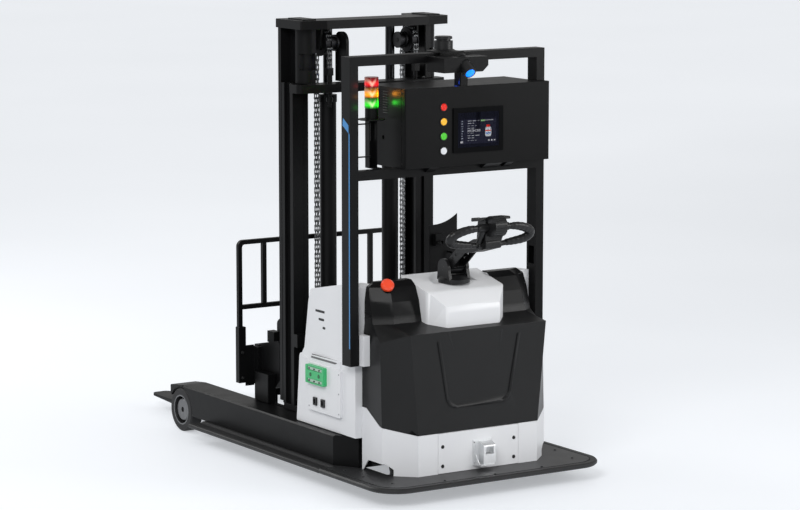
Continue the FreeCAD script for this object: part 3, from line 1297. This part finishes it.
def lift_cylinders():
    """Two lift cylinders that stand on the mast base plate."""
    low = MAST_FOOT + BASE_PLATE
    barrel = rod((CYLINDER_X, CYLINDER_Y, low), Z_AXIS, CYLINDER_RADIUS, CYLINDER_TOP - low - 40)
    gland = rod((CYLINDER_X, CYLINDER_Y, CYLINDER_TOP - 40), Z_AXIS, CYLINDER_RADIUS + 4, 40)
    bore = rod((CYLINDER_X, CYLINDER_Y, low + 30), Z_AXIS, ROD_RADIUS + 1, CYLINDER_TOP)
    return both_sides(fuse(barrel, gland).cut(bore))


def lift_rods():
    """Chromed lift rods hung from the inner mast."""
    return both_sides(rod((CYLINDER_X, CYLINDER_Y, 520), Z_AXIS, ROD_RADIUS,
                          TOP_PLATE_BOTTOM - 520))


def inner_mast():
    """Inner mast: nested channels with wrap-round front flanges, and the head plate."""
    rear = UPRIGHT_REAR + 14
    web = box(INNER_OUTSIDE - 11, INNER_OUTSIDE, rear, INNER_FRONT, INNER_BOTTOM,
              TOP_PLATE_BOTTOM)
    rear_flange = box(INNER_INSIDE, INNER_OUTSIDE, rear, rear + 20, INNER_BOTTOM,
                      TOP_PLATE_BOTTOM)
    front_flange = box(INNER_INSIDE, MAST_HALF_WIDTH, INNER_FRONT - FLANGE, INNER_FRONT,
                       INNER_BOTTOM, TOP_PLATE_BOTTOM)
    roller_y = UPRIGHT_REAR + UPRIGHT_DEPTH / 2
    roller_r = UPRIGHT_DEPTH / 2 - FLANGE - CLEAR
    rollers = [rod((INNER_OUTSIDE - 2, roller_y, z), X_AXIS, roller_r, 20) for z in (380, 1820)]
    right = fuse(web, rear_flange, front_flange, head_bracket(), sheave_cheek(), *rollers)
    tie = box(-INNER_OUTSIDE, INNER_OUTSIDE, CYLINDER_Y + CYLINDER_RADIUS + 5,
              INNER_FRONT - FLANGE, INNER_BOTTOM,
              INNER_BOTTOM + 28)
    edge = YOKE_HALF_WIDTH - 2
    top_half = [
        (0, 850), (INNER_INSIDE - 52, 850), (INNER_INSIDE - 12, INNER_FRONT), (edge, INNER_FRONT), (edge, 703),
        (320, TOP_PLATE_REAR), (0, TOP_PLATE_REAR),
    ]
    plate = plan_prism(top_half, TOP_PLATE_BOTTOM, TOP_PLATE_BOTTOM + TOP_PLATE_THICKNESS,
                       [0, 30, 20, 8, 12, 0, 0])
    lid = plan_prism([(350, 730), (350, 900), (430, 900), (430, 730)],
                     TOP_PLATE_BOTTOM + TOP_PLATE_THICKNESS,
                     TOP_PLATE_BOTTOM + TOP_PLATE_THICKNESS + 7, 10)
    return fuse(right, mirrored(right), tie, plate, mirrored(plate), lid, mirrored(lid),
                hose_guard())


def head_bracket():
    """Rounded bent-plate bracket with a window, hanging from the head plate."""
    low = OUTER_TOP + 4
    b = HeadBracket
    outer = [(b.INSIDE, b.REAR), (b.OUTSIDE, b.REAR), (b.OUTSIDE, b.FRONT), (b.INSIDE, b.FRONT)]
    inner = [(b.INSIDE - 6, b.REAR + b.SHEET), (b.OUTSIDE - b.SHEET, b.REAR + b.SHEET),
             (b.OUTSIDE - b.SHEET, b.FRONT + 10), (b.INSIDE - 6, b.FRONT + 10)]
    shell = plan_prism(outer, low, TOP_PLATE_BOTTOM, [0, b.RADIUS, 0, 0])
    shell = shell.cut(plan_prism(inner, low - 1, TOP_PLATE_BOTTOM + 1,
                                 [0, b.RADIUS - b.SHEET, 0, 0]))
    window = box(b.INSIDE + 6, b.OUTSIDE + 1, b.REAR - 1, b.REAR + 46, b.WINDOW_LOW, b.WINDOW_TOP)
    gusset = rear_prism([(b.OUTSIDE, low), (b.OUTSIDE, TOP_PLATE_BOTTOM),
                         (338, TOP_PLATE_BOTTOM), (312, low + 60), (312, low)],
                        b.FRONT - 12, b.FRONT)
    return fuse(shell.cut(window), gusset)


class HeadBracket:
    """Sizes of the bent brackets between the inner uprights and the head plate."""
    INSIDE = INNER_INSIDE + 4
    OUTSIDE = MAST_HALF_WIDTH - 16
    REAR = 747.0
    FRONT = 818.0
    RADIUS = 60.0
    SHEET = 10.0
    WINDOW_LOW = OUTER_TOP + 74
    WINDOW_TOP = SHEAVE_Z - 48


def sheave_cheek():
    """Plate and pin that carry the chain sheave under the head plate."""
    outer = SHEAVE_X + 24
    plate = side_prism([(SHEAVE_Y - 40, TOP_PLATE_BOTTOM), (SHEAVE_Y + 46, TOP_PLATE_BOTTOM),
                        (SHEAVE_Y + 34, SHEAVE_Z - 34), (SHEAVE_Y - 34, SHEAVE_Z - 34)],
                       outer, outer + 12, [0, 0, 26, 26])
    pin_start = HOSE_DRUM_X - 2
    pin = rod((pin_start, SHEAVE_Y, SHEAVE_Z), X_AXIS, SHEAVE_PIN, outer - pin_start + 4)
    return fuse(plate, pin)


def hose_guard():
    """Rounded cover plate over the hoses, on the end of the left sheave pin."""
    half = SHEAVE_RADIUS + 5.5
    low = OUTER_TOP + 4
    face = HOSE_GUARD_X - HOSE_GUARD_WIDTH
    body = side_prism([(SHEAVE_Y - half, low), (SHEAVE_Y - half, SHEAVE_Z + half - 8),
                       (SHEAVE_Y + half - 22, SHEAVE_Z + half - 8), (SHEAVE_Y + half - 22, low)],
                      face, HOSE_GUARD_X, [0, half - 12, half - 24, 0])
    pin = rod((face - 32, SHEAVE_Y, SHEAVE_Z), X_AXIS, SHEAVE_PIN, 33)
    return fuse(body, pin)


def sheave():
    """Chain sheave and hose drum on one hub, right side."""
    half = CHAIN_WIDTH / 2 + 1
    seat = SHEAVE_RADIUS - 0.3

    def disc(x, radius, width):
        return rod((x, SHEAVE_Y, SHEAVE_Z), X_AXIS, radius, width)

    wheel = disc(SHEAVE_X - half - 5, seat, 2 * half + 10)
    rims = [disc(x, SHEAVE_RADIUS + 6, 4) for x in (SHEAVE_X - half - 5, SHEAVE_X + half + 1)]
    drum = disc(HOSE_DRUM_X, HOSE_DRUM_RADIUS, HOSE_DRUM_WIDTH)
    groove = ring((HOSE_DRUM_X + 11, SHEAVE_Y, SHEAVE_Z), X_AXIS, HOSE_DRUM_RADIUS + 1,
                  HOSE_DRUM_RADIUS - 8, HOSE_DRUM_WIDTH - 22)
    neck_x = HOSE_DRUM_X + HOSE_DRUM_WIDTH
    neck = disc(neck_x, 26, SHEAVE_X - half - 5 - neck_x)
    whole = fuse(wheel, *rims, drum.cut(groove), neck)
    return whole.cut(disc(HOSE_DRUM_X - 1, SHEAVE_PIN + FIT, 130))


def chain_front_falls():
    """Chain wrap over each sheave and the long fall down to the carriage."""
    inner = SHEAVE_RADIUS
    outer = inner + CHAIN_THICKNESS
    x0 = SHEAVE_X - CHAIN_WIDTH / 2
    x1 = SHEAVE_X + CHAIN_WIDTH / 2
    wrap = ring((x0, SHEAVE_Y, SHEAVE_Z), X_AXIS, outer, inner, CHAIN_WIDTH)
    wrap = wrap.common(box(x0 - 1, x1 + 1, SHEAVE_Y - outer - 1, SHEAVE_Y + outer + 1, SHEAVE_Z,
                           SHEAVE_Z + outer + 1))
    front = box(x0, x1, SHEAVE_Y + inner, SHEAVE_Y + outer, CHAIN_LUG_Z, SHEAVE_Z)
    return both_sides(wrap, front)


def chain_rear_falls():
    """Short chain falls from each sheave down to the anchors on the outer mast."""
    x0 = SHEAVE_X - CHAIN_WIDTH / 2
    x1 = SHEAVE_X + CHAIN_WIDTH / 2
    rear = SHEAVE_Y - SHEAVE_RADIUS - CHAIN_THICKNESS
    return both_sides(box(x0, x1, rear, rear + CHAIN_THICKNESS, CHAIN_ANCHOR_Z, SHEAVE_Z))


# ---------------------------------------------------------------- fork carriage
def fork_carriage():
    """Carriage that climbs inside the inner mast, with rollers, chain lugs and tilt ears."""
    outside = INNER_INSIDE - 2
    inside = outside - 22
    plate = side_prism([(852, CARRIAGE_BOTTOM + 8), (CARRIAGE_FRONT, CARRIAGE_BOTTOM + 8),
                        (CARRIAGE_FRONT, 700), (980, CARRIAGE_TOP), (852, CARRIAGE_TOP)],
                       inside, outside, [6, 6, 30, 30, 6])
    channel_depth = INNER_WIDTH - 11
    rear = UPRIGHT_REAR + 34
    centre_y = (rear + INNER_FRONT - FLANGE) / 2.0
    radius = (INNER_FRONT - FLANGE - rear) / 2.0 - CLEAR
    rollers = []
    for z in (410, 745):
        rollers.append(rod((outside - 2, centre_y, z), X_AXIS, 16, 8))
        rollers.append(rod((outside + 3, centre_y, z), X_AXIS, radius, channel_depth - 4))
    chain_y = SHEAVE_Y + SHEAVE_RADIUS
    lug = box(SHEAVE_X - 18, inside, chain_y - 6, chain_y + CHAIN_THICKNESS + 8,
              CHAIN_LUG_Z - 24, CHAIN_LUG_Z)
    ear = side_prism([(CARRIAGE_FRONT - 8, TILT_Z - 30), (TILT_Y + EAR, TILT_Z - EAR),
                      (TILT_Y + EAR, TILT_Z + EAR), (CARRIAGE_FRONT - 8, TILT_Z + 46)],
                     190, 222, [0, EAR - 2, EAR - 2, 0])
    side = fuse(plate, lug, *rollers)
    cross_low = box(-outside, outside, CARRIAGE_FRONT - 34, CARRIAGE_FRONT, 353, 440)
    cross_high = box(-outside, outside, CARRIAGE_FRONT - 34, CARRIAGE_FRONT, 620, 690)
    whole = fuse(side, mirrored(side), cross_low, cross_high, ear, mirrored(ear))
    return whole.cut(rod((-240, TILT_Y, TILT_Z), X_AXIS, TILT_PIN + FIT, 480))


class Backrest:
    """Sizes of the fork frame and of the load backrest above it."""
    SHANK = 45.0
    BAR = 38.0
    BAR_HALF = FORK_OUTER - 4
    LOWER_Z = 274.0
    TUBE = 24.0
    LOW_BAR_Z = 760.0


def backrest_frame():
    """Tilting fork frame: two hook bars, tilt lugs, side blocks and the tubular backrest."""
    b = Backrest
    bar_front = FORK_FACE - b.SHANK
    bar_rear = bar_front - b.BAR
    upper = box(-b.BAR_HALF, b.BAR_HALF, bar_rear, bar_front, FORK_SHANK_TOP - 66,
                FORK_SHANK_TOP + 5)
    lower = box(-b.BAR_HALF, b.BAR_HALF, bar_rear, bar_front, b.LOWER_Z, b.LOWER_Z + 62)
    ribs = [box(x, x + 26, bar_rear, bar_front, b.LOWER_Z + 61, FORK_SHANK_TOP - 65)
            for x in (-170, 144)]
    eye = TILT_PIN + 5
    lug = side_prism([(TILT_Y - eye, TILT_Z - eye), (bar_rear + 2, TILT_Z - 50),
                      (bar_rear + 2, TILT_Z + 60), (TILT_Y - eye, TILT_Z + eye)],
                     224, 250, [eye - 2, 0, 0, eye - 2])
    web = box(224, 250, bar_rear, bar_front, b.LOWER_Z + 61, FORK_SHANK_TOP - 65)
    pin = rod((188, TILT_Y, TILT_Z), X_AXIS, TILT_PIN, 40)
    side = side_prism([(1110, 342), (1060, 392), (1060, 612), (bar_front, 566), (bar_front, 342)],
                      INNER_INSIDE + 12, FORK_OUTER - 4, [20, 20, 20, 0, 0])
    cap = box(INNER_INSIDE + 12, FORK_OUTER - 4, 1118, 1189, 590, 652)
    plane = FORK_FACE - b.TUBE
    outside = BACKREST_HALF_WIDTH
    post = rear_prism([(outside - 44, BACKREST_BOTTOM), (outside - 44, 664), (outside, 664),
                       (outside, BACKREST_BOTTOM)], plane - 6, plane + 30, 3)
    wing = box(FORK_OUTER + 20, outside - 43, plane - 6, plane + 2, 335, 560)
    bridge = fuse(box(b.BAR_HALF - 1, FORK_OUTER + 21, bar_rear + 8, bar_front - CLEAR, 345, 552),
                  box(FORK_OUTER + 2, FORK_OUTER + 21, bar_front - 2, plane + 2, 345, 552))
    right = fuse(lug, web, pin, side, cap, post, wing, bridge)
    edge = outside - 4
    loop_outer = [(-edge, 655), (-edge, BACKREST_TOP), (edge, BACKREST_TOP), (edge, 655)]
    hole = edge - b.TUBE
    loop_inner = [(-hole, 640), (-hole, BACKREST_TOP - b.TUBE), (hole, BACKREST_TOP - b.TUBE),
                  (hole, 640)]
    loop = rear_prism(loop_outer, plane, plane + b.TUBE, [0, 34, 34, 0])
    loop = loop.cut(rear_prism(loop_inner, plane - 1, plane + b.TUBE + 1, [0, 16, 16, 0]))
    low_bar = box(-hole - 4, hole + 4, plane, plane + b.TUBE, b.LOW_BAR_Z, b.LOW_BAR_Z + b.TUBE)
    bars = [box(x - 12, x + 12, plane, plane + b.TUBE, b.LOW_BAR_Z, BACKREST_TOP - b.TUBE + 2)
            for x in (-BACKREST_BAR_X, BACKREST_BAR_X)]
    return fuse(upper, lower, *ribs, right, mirrored(right), loop, low_bar, *bars)


def fork():
    """Right fork: tapered blade, curved heel and shank with two hooks."""
    shank = FORK_FACE - 45
    profile = [
        (shank, FORK_SHANK_TOP), (FORK_FACE, FORK_SHANK_TOP), (FORK_FACE, FORK_TOP),
        (FORK_TIP_Y, FORK_TOP), (FORK_TIP_Y, FORK_TOP - FORK_TIP),
        (FORK_TIP_Y - 500, FORK_TOP - FORK_HEEL + 6), (shank, FORK_TOP - FORK_HEEL),
    ]
    blade = side_prism(profile, FORK_OUTER - FORK_WIDTH, FORK_OUTER, [3, 6, 20, 3, 3, 0, 55])
    inner = FORK_OUTER - FORK_WIDTH
    outline = [(inner, shank - 60), (inner, FORK_TIP_Y), (FORK_OUTER, FORK_TIP_Y),
               (FORK_OUTER, shank - 60)]
    return blade.common(plan_prism(outline, 0, FORK_SHANK_TOP + 1, [0, 46, 46, 0]))


def fork_pair():
    """Both forks."""
    right = fork()
    return Part.makeCompound([right, mirrored(right)])


# ---------------------------------------------------------------- reach drive
def reach_cylinder():
    """Barrel of the reach cylinder, fixed to the chassis."""
    barrel = rod((0, CABINET_FRONT + 6, 190), Y_AXIS, 30, 44)
    flange = rod((0, CABINET_FRONT, 190), Y_AXIS, 44, 8)
    bore = rod((0, CABINET_FRONT - 1, 190), Y_AXIS, 16, 60)
    return fuse(barrel, flange).cut(bore)


def reach_rod():
    """Rod of the reach cylinder, fixed to the mast carriage."""
    return rod((0, 640, 190), Y_AXIS, 15, 50)


NODES = {
    "underbody_plate": underbody_plate,
    "rubber_bumpers": rubber_bumpers,
    "legs": legs,
    "load_tyre_right": load_tyre,
    "load_tyre_left": lambda: mirrored(load_tyre()),
    "load_hub_right": load_hub,
    "load_hub_left": lambda: mirrored(load_hub()),
    "chassis_frame": chassis_frame,
    "lower_skirt": lower_skirt,
    "rear_panel": rear_panel,
    "panel_bolts": panel_bolts,
    "docking_bracket": docking_bracket,
    "rear_cover": rear_cover,
    "tiller_housing": tiller_housing,
    "estop_button": estop_button,
    "side_cabinets": side_cabinets,
    "charging_block": charging_block,
    "service_sockets": service_sockets,
    "battery": battery,
    "power_unit": power_unit,
    "safety_scanners": safety_scanners,
    "gantry_frame": gantry_frame,
    "control_box": control_box,
    "red_button": lambda: push_button(button_heights()[0]),
    "yellow_button": lambda: push_button(button_heights()[1]),
    "green_button": lambda: push_button(button_heights()[2]),
    "white_button": lambda: push_button(button_heights()[3]),
    "hmi_panel": hmi_panel,
    "stack_light": stack_light,
    "stack_light_bracket": stack_light_bracket,
    "lidar_bracket": lidar_bracket,
    "lidar_base": lidar_base,
    "lidar_head": lidar_head,
    "spot_lamp": spot_lamp,
    "valve_panel": valve_panel,
    "tiller_base": tiller_base,
    "tiller_arm": tiller_arm,
    "tiller_head": tiller_head,
    "belly_button": belly_button,
    "throttle": throttle,
    "drive_unit": drive_unit,
    "drive_wheel": drive_wheel,
    "caster_fork_right": caster_fork,
    "caster_fork_left": lambda: mirrored(caster_fork()),
    "caster_wheel_right": caster_wheel,
    "caster_wheel_left": lambda: mirrored(caster_wheel()),
    "reach_carriage": reach_carriage,
    "outer_mast": outer_mast,
    "lift_cylinders": lift_cylinders,
    "lift_rods": lift_rods,
    "inner_mast": inner_mast,
    "sheave_right": sheave,
    "sheave_left": lambda: mirrored(sheave()),
    "chain_front_falls": chain_front_falls,
    "chain_rear_falls": chain_rear_falls,
    "fork_carriage": fork_carriage,
    "backrest_frame": backrest_frame,
    "fork_pair": fork_pair,
    "reach_cylinder": reach_cylinder,
    "reach_rod": reach_rod,
}


def export_all():
    """Write every node to its own STEP file, shifted to the truck's origin."""
    os.makedirs("parts", exist_ok=True)
    for name, make in NODES.items():
        shape = make()
        shape.translate(Vector(0, -ORIGIN_Y, 0))
        shape.exportStep("parts/" + name + ".step")


export_all()
